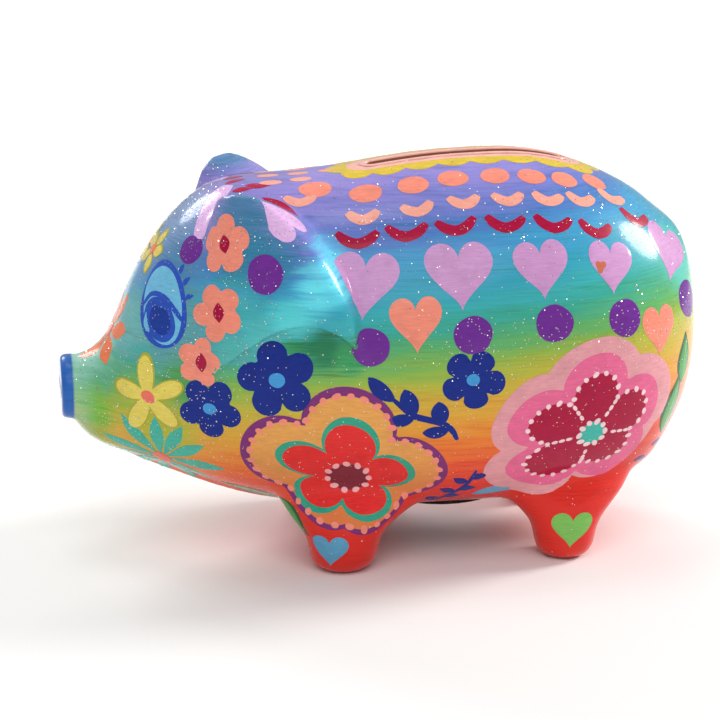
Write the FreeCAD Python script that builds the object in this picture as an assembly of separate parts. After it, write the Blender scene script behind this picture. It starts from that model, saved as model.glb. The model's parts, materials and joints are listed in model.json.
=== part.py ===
import FreeCAD, Part

"""A moulded terracotta money pig, in millimetres.

The pig stands on four feet on the plane z = 0, with its snout towards -X and its left
side towards -Y. It is made as a potter makes it: two press-moulded half shells are joined
along the plane y = 0, and the snout disc, ears, legs and tail are luted on outside with
slip. A soft cup-shaped stopper closes the hole in the belly.
"""

import math
import os

V = FreeCAD.Vector

# Driving dimensions of the body
WALL = 5.0  # thickness of the fired clay
SNOUT_END_X = -91.5  # front of the half shells, where the snout disc is luted on
RUMP_X = 94.7  # rearmost point of the half shells
SECTION_POINTS = 13  # from the back ridge down one side to the belly ridge

# Coin slot in the back
SLOT_LENGTH = 59.0
SLOT_WIDTH = 5.0
SLOT_X = 25.5
SLOT_CUT_Z = 61.0  # the cutter starts inside the hollow
SLOT_CUT_HIGH = 65.0  # and passes out through the back

# Stopper hole in the belly, with a flat seat round it
HOLE_R = 16.0
HOLE_X = 18.5
HOLE_CUT_HIGH = 32.5  # the cutter ends inside the hollow
SEAT_R = 21.5
SEAT_Z = 17.5

# Snout disc
DISC_THICK = 4.0
DISC_R = 9.6
DISC_Z = 52.0
DISC_ROUNDING = 1.2
NOSTRIL_R = 1.5
NOSTRIL_DEEP = 2.5
NOSTRIL_Y = 4.0

# Legs: height of each ring, its radius along the body and across it, how far its middle is
# from the middle plane, and how far it leans towards the middle of the belly
FRONT_LEG_X = -15.0
REAR_LEG_X = 52.0
REAR_LEG_SIZE = 0.9  # the rear legs are a little slimmer
LEG_RINGS = [
    (0.0, 7.2, 7.2, 26.5, 0.0),
    (1.2, 9.0, 9.0, 26.5, 0.0),
    (4.0, 10.4, 10.4, 26.5, 0.0),
    (9.0, 11.0, 11.0, 27.0, 0.0),
    (14.0, 14.4, 12.2, 26.0, 0.5),
    (18.0, 18.8, 13.5, 24.5, 2.0),
    (22.0, 22.5, 14.0, 23.0, 4.0),
    (28.0, 22.5, 13.0, 22.0, 4.0),
    (34.0, 20.0, 11.0, 20.0, 4.0),
]

# Ears: slices on planes of constant y, given as the distance from the middle plane. Each
# slice has three curved sides, in front, above and behind, and below. A side is an arc
# through two corners and the point between them, listed as (x, z) from the lower front corner.
EAR_SLICES = [
    (12.0, [(-53, 68), (-52, 84), (-45, 101), (-27, 101), (-13, 84), (-32, 78)]),
    (20.0, [(-58, 62), (-57, 86), (-50.5, 112.5), (-27, 105), (-10, 80), (-32, 77)]),
    (26.0, [(-59, 61), (-57, 84), (-46.5, 115), (-26, 106), (-9, 77), (-33, 77)]),
    (31.5, [(-58.5, 60.5), (-56, 82), (-41.5, 115), (-25, 105), (-10, 75), (-33, 77.5)]),
    (37.0, [(-53.5, 63), (-50, 83), (-35, 110.5), (-23.5, 102), (-11.5, 73.5), (-33, 78.5)]),
    (41.5, [(-45.5, 70.5), (-41.5, 84), (-29.5, 105), (-21.5, 99), (-12.5, 72.5), (-31, 79)]),
    (45.5, [(-37.5, 77.5), (-34.5, 86), (-26, 99), (-20, 94), (-13.5, 72), (-27, 80)]),
    (48.5, [(-29, 80.5), (-27, 86), (-23, 93), (-18.5, 88.5), (-14.5, 72.5), (-22, 78.5)]),
    (50.0, [(-22.5, 80), (-22.3, 82.5), (-21.5, 85.5), (-19, 83.5), (-17, 76), (-20, 78.5)]),
]

# Tail: a flat curl of clay pressed on the rump, to the pig's right of the middle plane
TAIL_R = 8.5
TAIL_EYE_R = 3.2
TAIL_GAP = 4.5  # the open mouth of the curl
TAIL_FRONT_X = 95.5
TAIL_DEEP = 12.0
TAIL_ROUNDING = 1.0
TAIL_Y = 7.0
TAIL_Z = 78.0

# Stopper: flange, cup-shaped plug and the grip bar inside it
FIT = 0.05  # radial clearance of the plug in the hole
FLANGE_R = 20.5
FLANGE_THICK = 2.4
FLANGE_ROUNDING = 0.8
PLUG_HIGH = 9.5
PLUG_CHAMFER = 1.5
CUP_R = 12.5
CUP_ROOF = 2.0
GRIP_LONG = 17.0
GRIP_THICK = 3.0
GRIP_DROP = 7.0
GRIP_ROUNDING = 1.0

# The body along its length: station x, lowest z, highest z, half width, fullness.
# Fullness is the superellipse power of the section: 2 is an ellipse, more is squarer.
STATIONS = [
    (SNOUT_END_X, 42.0, 61.0, 9.6, 2.0),
    (-87.0, 36.5, 62.5, 12.5, 2.0),
    (-81.5, 33.5, 67.0, 17.0, 2.0),
    (-76.0, 31.5, 78.5, 22.0, 2.05),
    (-68.0, 28.0, 93.5, 27.0, 2.1),
    (-59.0, 24.5, 104.5, 32.0, 2.15),
    (-48.0, 20.5, 111.5, 37.0, 2.2),
    (-33.0, 16.5, 113.5, 42.0, 2.2),
    (-15.0, 13.5, 114.5, 46.0, 2.2),
    (5.0, 12.5, 117.0, 49.0, 2.2),
    (25.0, 12.5, 118.5, 50.0, 2.2),
    (45.0, 13.5, 118.0, 48.5, 2.2),
    (61.0, 15.0, 114.0, 45.0, 2.15),
    (74.0, 17.5, 108.0, 39.5, 2.1),
    (83.5, 26.0, 101.0, 32.5, 2.05),
    (90.3, 36.5, 95.0, 24.0, 2.0),
    (93.6, 47.5, 85.5, 15.0, 2.0),
    (RUMP_X, 59.0, 74.0, 6.0, 2.0),
]


def section_points(low, high, half_width, fullness, x):
    """Points down the left side of one section, from the back ridge to the belly ridge."""
    middle = (low + high) / 2
    half_height = (high - low) / 2
    found = []
    for i in range(SECTION_POINTS):
        angle = math.pi * i / (SECTION_POINTS - 1)
        across = abs(math.sin(angle)) ** (2 / fullness)
        up = math.copysign(abs(math.cos(angle)) ** (2 / fullness), math.cos(angle))
        found.append(V(x, -half_width * across, middle + half_height * up))
    found[0].y = 0.0
    found[-1].y = 0.0
    return found


def section_wire(low, high, half_width, fullness, x):
    """Half a section as a closed wire: the curved side and the straight cut on y = 0."""
    side = Part.BSplineCurve()
    points = section_points(low, high, half_width, fullness, x)
    side.interpolate(Points=points, InitialTangent=V(0, -1, 0), FinalTangent=V(0, 1, 0))
    return Part.Wire([side.toShape(), Part.makeLine(points[-1], points[0])])


def left_body():
    """The left half of the body as a solid, before it is hollowed."""
    wires = []
    for x, low, high, half_width, fullness in STATIONS:
        wires.append(section_wire(low, high, half_width, fullness, x))
    return Part.makeLoft(wires, True, False)


def left_hollow():
    """The left half of the space inside: every station smaller by the wall all round."""
    wires = []
    shrink = 1 - WALL / RUMP_X
    for x, low, high, half_width, fullness in STATIONS:
        if half_width <= 2 * WALL:
            continue
        narrow = half_width - WALL
        wires.append(section_wire(low + WALL, high - WALL, narrow, fullness, x * shrink))
    return Part.makeLoft(wires, True, False)


def coin_slot():
    """The cutter for the coin slot: a tall block with round ends."""
    radius = SLOT_WIDTH / 2
    straight = SLOT_LENGTH - SLOT_WIDTH
    corner = V(SLOT_X - straight / 2, -radius, SLOT_CUT_Z)
    block = Part.makeBox(straight, SLOT_WIDTH, SLOT_CUT_HIGH, corner)
    for side in (-1, 1):
        middle = V(SLOT_X + side * straight / 2, 0, SLOT_CUT_Z)
        block = block.fuse(Part.makeCylinder(radius, SLOT_CUT_HIGH, middle))
    return block


def half_shell():
    """The left half shell: hollow, with its halves of the coin slot and the stopper hole."""
    hole = Part.makeCylinder(HOLE_R, HOLE_CUT_HIGH, V(HOLE_X, 0, 0))
    seat = Part.makeCylinder(SEAT_R, SEAT_Z, V(HOLE_X, 0, 0))
    return left_body().cut(left_hollow()).cut(coin_slot()).cut(hole).cut(seat)


def snout_disc():
    """The flat disc on the end of the snout, with two poked nostrils."""
    face_x = SNOUT_END_X - DISC_THICK
    disc = Part.makeCylinder(DISC_R, DISC_THICK, V(face_x, 0, DISC_Z), V(1, 0, 0))
    front = [edge for edge in disc.Edges if edge.BoundBox.XMax < SNOUT_END_X - DISC_ROUNDING]
    disc = disc.makeFillet(DISC_ROUNDING, front)
    for side in (-1, 1):
        place = V(face_x, side * NOSTRIL_Y, DISC_Z)
        disc = disc.cut(Part.makeCylinder(NOSTRIL_R, NOSTRIL_DEEP, place, V(1, 0, 0)))
    return disc


def ring_wire(x, y, z, along, across):
    """A level ring: a circle, or an ellipse that is longer along the body."""
    curve = Part.Circle(V(x, y, z), V(0, 0, 1), along)
    if along > across:
        curve = Part.Ellipse(V(x + along, y, z), V(x, y + across, z), V(x, y, z))
    return Part.Wire([curve.toShape()])


def left_leg(x, size, lean, body):
    """One left leg: a round foot that flares out into the body."""
    rings = []
    for z, along, across, middle, inward in LEG_RINGS:
        rings.append(ring_wire(x + lean * inward, -middle, z, along * size, across * size))
    return Part.makeLoft(rings, True, False).cut(body)


def left_ear(body):
    """The left ear: a flap that stands out from the head and points back and down."""
    wires = []
    for out, corners in EAR_SLICES:
        points = [V(x, -out, z) for x, z in corners]
        sides = []
        for i in (0, 2, 4):
            sides.append(Part.Arc(points[i], points[i + 1], points[(i + 2) % 6]).toShape())
        wires.append(Part.Wire(sides))
    return Part.makeLoft(wires, True, True).cut(body)


def tail(body):
    """The tail: a flat curl, open at one side, with its outer edge rounded."""
    back = V(TAIL_FRONT_X - TAIL_DEEP, TAIL_Y, TAIL_Z)
    curl = Part.makeCylinder(TAIL_R, TAIL_DEEP, back, V(1, 0, 0))
    rim = [edge for edge in curl.Edges if edge.BoundBox.XMin > back.x + TAIL_ROUNDING]
    curl = curl.makeFillet(TAIL_ROUNDING, rim)
    eye = Part.makeCylinder(TAIL_EYE_R, TAIL_DEEP, back, V(1, 0, 0))
    mouth = Part.makeBox(TAIL_DEEP, TAIL_R, TAIL_GAP, back)
    return curl.cut(eye).cut(mouth).cut(body)


def stopper():
    """The stopper: a flange against the seat, and a plug that is a cup with a grip bar."""
    axis = V(HOLE_X, 0, 0)
    flange_z = SEAT_Z - FLANGE_THICK
    flange = Part.makeCylinder(FLANGE_R, FLANGE_THICK, axis + V(0, 0, flange_z))
    low = [edge for edge in flange.Edges if edge.BoundBox.ZMax < SEAT_Z - FLANGE_ROUNDING]
    flange = flange.makeFillet(FLANGE_ROUNDING, low)
    plug = Part.makeCylinder(HOLE_R - FIT, PLUG_HIGH, axis + V(0, 0, SEAT_Z))
    top = [edge for edge in plug.Edges if edge.BoundBox.ZMin > SEAT_Z + PLUG_CHAMFER]
    plug = plug.makeChamfer(PLUG_CHAMFER, top)
    roof_z = SEAT_Z + PLUG_HIGH - CUP_ROOF
    cup = Part.makeCylinder(CUP_R, roof_z - flange_z, axis + V(0, 0, flange_z))
    corner = axis + V(-GRIP_LONG / 2, -GRIP_THICK / 2, roof_z - GRIP_DROP)
    grip = Part.makeBox(GRIP_LONG, GRIP_THICK, GRIP_DROP + CUP_ROOF / 2, corner)
    low = [edge for edge in grip.Edges if edge.BoundBox.ZMax < corner.z + GRIP_ROUNDING]
    grip = grip.makeFillet(GRIP_ROUNDING, low)
    return flange.fuse(plug).cut(cup).fuse(grip).removeSplitter()


def mirrored(shape):
    """The same piece on the pig's right side."""
    return shape.mirror(V(0, 0, 0), V(0, 1, 0))


def save(shape, name):
    solids = shape.Solids
    out = solids[0] if len(solids) == 1 else Part.Compound(solids)
    print(name, len(solids), "solid", round(out.Volume), "mm3", "valid", out.isValid())
    out.exportStep(f"parts/{name}.step")


os.makedirs("parts", exist_ok=True)
left = left_body()
whole = left.fuse(mirrored(left)).removeSplitter()

shell = half_shell()
save(shell, "body_left_half")
save(mirrored(shell), "body_right_half")
save(snout_disc(), "snout_disc")

ear = left_ear(left)
save(ear, "ear_left")
save(mirrored(ear), "ear_right")

legs = {"front": (FRONT_LEG_X, 1.0, 1), "rear": (REAR_LEG_X, REAR_LEG_SIZE, 0)}
for place, (x, size, lean) in legs.items():
    leg = left_leg(x, size, lean, left)
    save(leg, f"leg_{place}_left")
    save(mirrored(leg), f"leg_{place}_right")

save(tail(whole), "tail")
save(stopper(), "belly_stopper")
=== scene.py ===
# %% [markdown]
# # A hand-painted money pig
# The real object is a hollow pig of fired clay. A potter presses clay into two half moulds, joins
# the halves, lutes on ears, legs, tail and snout, and a painter covers it with flowers, hearts and
# glitter under a glossy varnish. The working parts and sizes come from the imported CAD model, and this
# script gives each of them its finished surface. It works in metres, in the frame of the CAD model.

import json
import math

import bmesh
import bpy
import numpy as np
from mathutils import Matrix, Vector
from mathutils.bvhtree import BVHTree
from mathutils.geometry import delaunay_2d_cdt


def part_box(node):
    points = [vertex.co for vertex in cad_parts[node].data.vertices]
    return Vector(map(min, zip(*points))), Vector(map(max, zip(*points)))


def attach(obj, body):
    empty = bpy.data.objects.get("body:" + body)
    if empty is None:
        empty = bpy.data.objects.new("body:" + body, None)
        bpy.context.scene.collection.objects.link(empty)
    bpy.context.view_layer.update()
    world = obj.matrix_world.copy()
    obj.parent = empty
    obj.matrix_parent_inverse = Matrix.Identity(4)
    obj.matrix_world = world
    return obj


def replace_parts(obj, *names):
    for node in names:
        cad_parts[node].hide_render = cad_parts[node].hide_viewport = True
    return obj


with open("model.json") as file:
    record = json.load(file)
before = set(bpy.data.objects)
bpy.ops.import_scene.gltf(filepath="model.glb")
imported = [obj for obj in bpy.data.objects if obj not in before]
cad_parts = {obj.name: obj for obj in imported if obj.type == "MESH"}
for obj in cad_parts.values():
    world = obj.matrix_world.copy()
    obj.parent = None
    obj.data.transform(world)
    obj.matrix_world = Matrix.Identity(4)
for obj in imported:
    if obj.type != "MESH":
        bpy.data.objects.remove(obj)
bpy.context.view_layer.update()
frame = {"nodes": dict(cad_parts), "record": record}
MM = 0.001
RIGID = frame["record"]["behaviour"]["bodies"]["pig"]
HALVES = ["body_left_half", "body_right_half"]
LUTED = [node for node in RIGID if node not in HALVES]
LEFT, RIGHT = -1, 1
SIDES = ((LEFT, "left"), (RIGHT, "right"))
print("the pig has", len(RIGID), "clay pieces, of which", len(LUTED), "are luted on")

# %% [markdown]
# ## The table, the light and the camera
# A small glossy object is usually shown on a pale table under large soft lamps. The varnish mirrors
# the lamps, so their places decide where the white glints sit: one strong lamp at the rump, a wide one
# in front, one behind the forehead and one overhead. A fifth only lights the far side of the table, so
# it is kept out of the mirror of the varnish, where it would bleach the back. Area lamps are used
# because their soft edges come from their size. The camera stands well back with a long lens, so the
# pig is hardly foreshortened.

# %% Lamps and camera
AIM = Vector((0, 0, 0.064))
LAMP_FAR = 0.9
CAMERA_FAR = 0.8


def towards(turn, rise):
    """The direction that turns from the pig's left side (-Y) towards its rump (+X), in degrees."""
    turn = math.radians(turn)
    rise = math.radians(rise)
    return Vector((math.sin(turn) * math.cos(rise), -math.cos(turn) * math.cos(rise), math.sin(rise)))


def hang(name, data, turn, rise, distance):
    """An object of this data that looks at the middle of the pig."""
    thing = bpy.data.objects.new(name, data)
    thing.location = AIM + towards(turn, rise) * distance
    thing.rotation_euler = towards(turn, rise).to_track_quat("Z", "Y").to_euler()
    bpy.context.scene.collection.objects.link(thing)
    return thing


def lamp(name, turn, rise, power, size, tint=(1, 1, 1)):
    data = bpy.data.lights.new(name, "AREA")
    data.shape = "DISK"
    data.size = size
    data.energy = power
    data.color = tint
    return hang(name, data, turn, rise, LAMP_FAR)


lamp("rump_lamp", 99, 27, 6.2, 0.27, (1, 0.98, 0.95))
lamp("front_lamp", -8, 44, 3.1, 0.75)
lamp("forehead_lamp", -150, 32, 3.0, 0.36)
lamp("overhead_lamp", -110, 78, 1.2, 0.35)
far_lamp = lamp("far_table_lamp", 180, 35, 9.0, 0.8)
far_lamp.location = (0, 1.4, 0.9)  # further out than the others, and pointing straight down
far_lamp.rotation_euler = (0, 0, 0)
far_lamp.visible_glossy = False

view = bpy.data.cameras.new("camera")
view.lens = 133.3
view.shift_x = -0.0254
view.shift_y = -0.0389
bpy.context.scene.camera = hang("camera", view, -9.5, 16, CAMERA_FAR)
bpy.context.scene.view_settings.view_transform = "Standard"
print("camera and", len(bpy.data.lights), "lamps placed")

# %% [markdown]
# ## Mixing materials
# Every finish here is procedural: numbers that vary over the surface are worked out by shader nodes.
# Wiring hundreds of nodes by hand hides the idea, so a small class wraps a socket and lets the sums be
# written as plain expressions. One method adds any other node.

# %% A socket that can be calculated with
class Tone:
    """A value that varies over a surface. Arithmetic on it adds Math nodes to its recipe."""

    def __init__(self, recipe, socket):
        self.recipe = recipe
        self.socket = socket

    def math(self, operation, first, second=0.0):
        return self.recipe.node("ShaderNodeMath", {"operation": operation}, {0: first, 1: second})

    def __add__(self, other):
        return self.math("ADD", self, other)

    def __sub__(self, other):
        return self.math("SUBTRACT", self, other)

    def __rsub__(self, other):
        return self.math("SUBTRACT", other, self)

    def __mul__(self, other):
        return self.math("MULTIPLY", self, other)

    def __abs__(self):
        return self.math("ABSOLUTE", self)

    __radd__ = __add__
    __rmul__ = __mul__


def colour(code):
    """A paint given as #rrggbb, in the linear values that shaders use."""
    shown = np.array([int(code[i:i + 2], 16) for i in (1, 3, 5)]) / 255
    linear = np.where(shown <= 0.04045, shown / 12.92, ((shown + 0.055) / 1.055) ** 2.4)
    return (*linear.tolist(), 1.0)


VARNISH = {"Coat IOR": 1.22, "Coat Roughness": 0.13, "Specular IOR Level": 0.1}


class Recipe:
    """One material. node() adds any node and gives one of its outputs as a Tone."""

    def __init__(self, name):
        self.material = bpy.data.materials.new(name)
        self.material.use_nodes = True
        self.tree = self.material.node_tree
        self.tree.nodes.clear()

    def node(self, kind, settings=None, sockets=None, output=0):
        made = self.tree.nodes.new(kind)
        for key, value in (settings or {}).items():
            if key == "stops":
                while len(made.color_ramp.elements) < len(value):
                    made.color_ramp.elements.new(1.0)
                for element, (place, code) in zip(made.color_ramp.elements, value):
                    element.position = place
                    element.color = colour(code)
            else:
                setattr(made, key, value)
        for key, value in (sockets or {}).items():
            if isinstance(value, Tone):
                self.tree.links.new(value.socket, made.inputs[key])
            else:
                made.inputs[key].default_value = value
        return Tone(self, made.outputs[output]) if made.outputs else None

    def place(self):
        """The point on the object, in metres of the pig's frame."""
        return self.node("ShaderNodeTexCoord", output=3)

    def noise(self, place, stretch, detail=3.0):
        """Noise whose grains have these sizes along x, y and z, in millimetres."""
        finer = [1 / (size * MM) for size in stretch]
        scaled = self.node("ShaderNodeVectorMath", {"operation": "MULTIPLY"}, {0: place, 1: finer})
        return self.node("ShaderNodeTexNoise", {}, {"Vector": scaled, "Scale": 1.0, "Detail": detail})

    def ramp(self, value, low, high, soft=True):
        """0 where the value is below low, 1 where it is above high."""
        kind = {"interpolation_type": "SMOOTHSTEP" if soft else "LINEAR"}
        return self.node("ShaderNodeMapRange", kind, {0: value, 1: low, 2: high})

    def blend(self, share, under, over, way="MIX"):
        """Two colours mixed. The share is how much of the second shows."""
        kind = {"data_type": "RGBA", "blend_type": way}
        return self.node("ShaderNodeMix", kind, {0: share, 6: under, 7: over}, output=2)

    def varnish(self, paint, roughness, height, bump, coat=1.0, **fixed):
        """Finish the recipe: a paint, its roughness and its relief, under a clear glossy coat."""
        relief = self.node(
            "ShaderNodeBump", {}, {"Height": height, "Strength": 1.0, "Distance": bump * MM}
        )
        sockets = {"Base Color": paint, "Roughness": roughness, "Normal": relief}
        sockets["Coat Weight"] = coat
        sockets.update(VARNISH)
        for key, value in fixed.items():
            sockets[key.replace("_", " ")] = value
        shader = self.node("ShaderNodeBsdfPrincipled", {}, sockets)
        self.node("ShaderNodeOutputMaterial", {}, {"Surface": shader})
        return self.material


print("recipes are ready")

# %% The table top
def table_paper():
    recipe = Recipe("table_paper")
    grain = recipe.noise(recipe.place(), (0.8, 0.8, 0.8))
    paper = recipe.blend(grain, colour("#f1f0ee"), colour("#f7f6f4"))
    return recipe.varnish(paper, 0.8, grain, 0.02, coat=0.0)


TABLE_HALF = 1.5
TABLE_CELLS = 8


def table():
    plan = bmesh.new()
    bmesh.ops.create_grid(plan, x_segments=TABLE_CELLS, y_segments=TABLE_CELLS, size=TABLE_HALF)
    mesh = bpy.data.meshes.new("table")
    plan.to_mesh(mesh)
    plan.free()
    mesh.materials.append(table_paper())
    top = bpy.data.objects.new("table", mesh)
    bpy.context.scene.collection.objects.link(top)
    return top


world = bpy.data.worlds.new("studio")
world.use_nodes = True
world.node_tree.nodes["Background"].inputs["Color"].default_value = (0.93, 0.95, 1.0, 1.0)
world.node_tree.nodes["Background"].inputs["Strength"].default_value = 0.4
bpy.context.scene.world = world
print("made", table().name)

# %% [markdown]
# ## One skin of clay
# Wet clay has no sharp joints: a potter wipes slip into the crease round each ear and leg until it
# flows into the body. Booleans would leave a crease and a mesh that smooths badly. Instead the CAD
# pieces are melted into one closed skin of even cells with a voxel remesh, and that skin is relaxed,
# a little everywhere and much more round the luted pieces.

# %% Melt pieces together
CELL = 0.9 * MM


def mesh_object(name, mesh, materials=()):
    for material in materials:
        mesh.materials.append(material)
    thing = bpy.data.objects.new(name, mesh)
    bpy.context.scene.collection.objects.link(thing)
    return thing


def points_of(mesh):
    flat = np.empty(len(mesh.vertices) * 3)
    mesh.vertices.foreach_get("co", flat)
    return flat.reshape(-1, 3)


def melted(nodes, name):
    """Copies of these CAD nodes as one closed skin of even cells."""
    lump = bmesh.new()
    for node in nodes:
        lump.from_mesh(frame["nodes"][node].data)
    mesh = bpy.data.meshes.new(name)
    lump.to_mesh(mesh)
    lump.free()
    thing = mesh_object(name, mesh)
    remesh = thing.modifiers.new("cells", "REMESH")
    remesh.mode = "VOXEL"
    remesh.voxel_size = CELL
    bpy.context.view_layer.update()
    skin = bpy.data.meshes.new_from_object(thing.evaluated_get(bpy.context.evaluated_depsgraph_get()))
    bpy.data.objects.remove(thing)
    skin.name = name
    return skin


def tree_of(mesh):
    faces = [face.vertices[:] for face in mesh.polygons]
    return BVHTree.FromPolygons([vertex.co[:] for vertex in mesh.vertices], faces)


body_skin = melted(HALVES, "body_skin")
whole_skin = melted(RIGID, "whole_skin")
print("body skin", len(body_skin.polygons), "cells, whole skin", len(whole_skin.polygons), "cells")

# %% Relax the clay
SLOT_STRAIGHT = 27  # half the straight part of the coin slot, in millimetres
SLOT_END = SLOT_STRAIGHT * MM
SLOT_MIDDLE = 25.5 * MM
STOPPER_LOW, STOPPER_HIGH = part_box("belly_stopper")
HOLE = (STOPPER_LOW + STOPPER_HIGH) / 2
HOLE_RADIUS = 16.0 * MM
SEAT_HIGH = 17.5 * MM
SEAT_RADIUS = 21.5 * MM


def step(values, low, high):
    share = np.clip((values - low) / (high - low), 0, 1)
    return share * share * (3 - 2 * share)


def joined_polygons(nodes):
    """The points and faces of these CAD nodes in one list of each."""
    points, faces = [], []
    for node in nodes:
        mesh = frame["nodes"][node].data
        start = len(points)
        points += [vertex.co[:] for vertex in mesh.vertices]
        faces += [[start + i for i in face.vertices] for face in mesh.polygons]
    return points, faces


def nearness(co, nodes, near, far):
    """1 within a distance near of these CAD nodes, falling to 0 at far."""
    tree = BVHTree.FromPolygons(*joined_polygons(nodes))
    gaps = np.full(len(co), far)
    for i, point in enumerate(co.tolist()):
        found = tree.find_nearest(point, far)
        if found[3] is not None:
            gaps[i] = found[3]
    return 1 - step(gaps, near, far)


def relax(co, ends, weight, rounds):
    """Each point moves towards the middle of its neighbours, by its own weight."""
    count = np.bincount(ends.ravel(), minlength=len(co))[:, None]
    for _ in range(rounds):
        total = np.empty_like(co)
        for axis in range(3):
            values = co[:, axis]
            total[:, axis] = np.bincount(ends[:, 0], values[ends[:, 1]], len(co))
            total[:, axis] += np.bincount(ends[:, 1], values[ends[:, 0]], len(co))
        co = co + weight[:, None] * (total / count - co)
    return co


def keep_cut_edges(co):
    """How free each point is: little where the clay was cut with a knife, fully elsewhere."""
    along = np.maximum(np.abs(co[:, 0] - SLOT_MIDDLE) - SLOT_END, 0)
    slot = np.hypot(along, co[:, 1]) + (co[:, 2] < 0.09)
    hole = np.hypot(co[:, 0] - HOLE.x, co[:, 1]) + (co[:, 2] > 0.03)
    nostril = np.hypot(np.abs(co[:, 1]) - 4 * MM, co[:, 2] - 52 * MM) + (co[:, 0] > -0.09)
    free = 0.5 + 0.5 * step(slot, 3.2 * MM, 6 * MM)
    free *= 0.15 + 0.85 * step(hole, 22.5 * MM, 26 * MM)
    return free * (0.3 + 0.7 * step(nostril, 2 * MM, 3.5 * MM))


def soften(mesh):
    co = points_of(mesh)
    ends = np.empty(len(mesh.edges) * 2, np.int32)
    mesh.edges.foreach_get("vertices", ends)
    ends = ends.reshape(-1, 2)
    free = keep_cut_edges(co)
    legs = nearness(co, [node for node in LUTED if "leg" in node], 3 * MM, 11 * MM)
    ears = nearness(co, ["ear_left", "ear_right", "tail"], 2 * MM, 8 * MM)
    snout = nearness(co, ["snout_disc"], 1 * MM, 5 * MM)
    co = relax(co, ends, 0.5 * free * (1 - 0.5 * snout), 8)
    co = relax(co, ends, 0.5 * free * np.maximum(legs, 0.16 * ears), 34)
    around = np.hypot(co[:, 0] - HOLE.x, co[:, 1])
    low = co[:, 2] < 0.03
    seat = low & (around < SEAT_RADIUS - 0.4 * MM)
    co[seat, 2] = np.maximum(co[seat, 2], SEAT_HIGH)
    wall = low & (around < HOLE_RADIUS)
    push = HOLE_RADIUS / around[wall]
    co[wall, 0] = HOLE.x + (co[wall, 0] - HOLE.x) * push
    co[wall, 1] *= push
    co *= (0.998, 0.996, 0.998)
    co[:, 2] = np.maximum(co[:, 2], 0)
    mesh.vertices.foreach_set("co", co.ravel())
    mesh.update()
    return mesh


body_tree = tree_of(soften(body_skin))
whole_tree = tree_of(soften(whole_skin))
print("softened; the hole is", round(2 * HOLE_RADIUS / MM), "mm wide")

# %% [markdown]
# ## The ground paint
# Before any flower, the pig is painted in soft bands that run into each other: violet-blue on the
# back, then blue, turquoise, green, yellow and orange, and red on the belly and legs. The bands are one
# colour ramp over height, tipped a little because they rise towards the rump, and pushed up and down by
# long thin noise so that they look brushed on. The head has its own patches, so soft round clouds of
# colour are blended over the ramp. Round the ear some clouds are painted light: a painted highlight on
# its ridge and lower rim, and a painted shadow under its lower edge. Both sides of the pig share the
# clouds, because they use |y|. The tail and the disc of the snout are plain blue.

# %% Ground paint recipe
BAND_LOW, BAND_HIGH = 15, 120  # heights of the first and last band, in millimetres
BAND_TILT = 0.13  # rise of the bands towards the rump
BAND_MIDDLE_X = 28
BANDS = [
    (20, "#dc2c22"), (28, "#dd3524"), (36, "#e8522c"), (44, "#e8782e"), (50, "#e29434"),
    (57, "#d5a63a"), (64, "#b4b23c"), (69, "#84b048"), (74, "#5cac66"), (80, "#3ba58e"),
    (86, "#3ba9ad"), (92, "#349cb6"), (100, "#3f97c6"), (105, "#4a79bb"), (110, "#6b78c2"),
    (118, "#8f83cb"),
]
PATCHES_AND_PAINTED_LIGHT = [  # middle, radius and colour of each patch on the head and rump
    ((-48, 0, 110), 26, "#8279be"),
    ((-64, 8, 100), 20, "#6f8fb9"),
    ((-66, 22, 92), 15, "#4f83aa"),
    ((-62, 30, 74), 17, "#5a9ba2"),
    ((-76, 14, 74), 13, "#6bb0ae"),
    ((-60, 30, 59), 11, "#4f9a52"),
    ((-66, 22, 45), 13, "#b2b236"),
    ((-84, 10, 59), 10, "#62b08a"),
    ((-84, 10, 48), 9, "#74b83f"),
    ((-82, 0, 38), 15, "#7ea606"),
    ((-84, 0, 66), 13, "#9fd0c0"),
    ((-44, 30, 110), 13, "#4d7ca6"),
    ((-42, 40, 98), 15, "#357c9e"),
    ((-45, 36, 80), 14, "#42a8ae"),
    # painted highlight: bright turquoise clouds along the bulging lower rim and the ridge of the ear
    ((-31, 44, 81), 10, "#56ced2"),
    ((-40, 41, 75), 8, "#50b8b8"),
    ((-48, 37, 71), 6, "#4fb0aa"),
    ((-24, 44, 90), 9, "#6ae4f2"),
    ((-20, 38, 98), 9, "#66cdec"),
    # painted shadow: dark green clouds under the lower edge of the ear
    ((-31, 43, 70), 6, "#37905a"),
    ((-23, 45, 72), 8, "#2a7d55"),
    ((-15, 46, 70), 6, "#3c9a5e"),
    ((84, 18, 86), 13, "#5fc2b4"),
    ((86, 16, 77), 10, "#8ccaa0"),
]
TAIL_MIDDLE = (0, 7, 78)  # the tail is a ring, open at its mouth
TAIL_RING = 5.85
SNOUT_RIM = 91.4  # from here forwards is the disc of the snout


def tail_share(recipe, x, y, z):
    """1 on the coil of the tail, 0 elsewhere."""
    behind = recipe.node("ShaderNodeCombineXYZ", {}, {1: y, 2: z})
    off = recipe.node(
        "ShaderNodeVectorMath", {"operation": "DISTANCE"}, {0: behind, 1: TAIL_MIDDLE}, output=1
    )
    mouth = recipe.ramp(y, 7, 7.5) * recipe.ramp(z, 78, 78.5) * (1 - recipe.ramp(z, 82, 82.5))
    return (1 - recipe.ramp(abs(off - TAIL_RING), 2.4, 2.9)) * recipe.ramp(x, 80, 82) * (1 - mouth)


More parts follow.
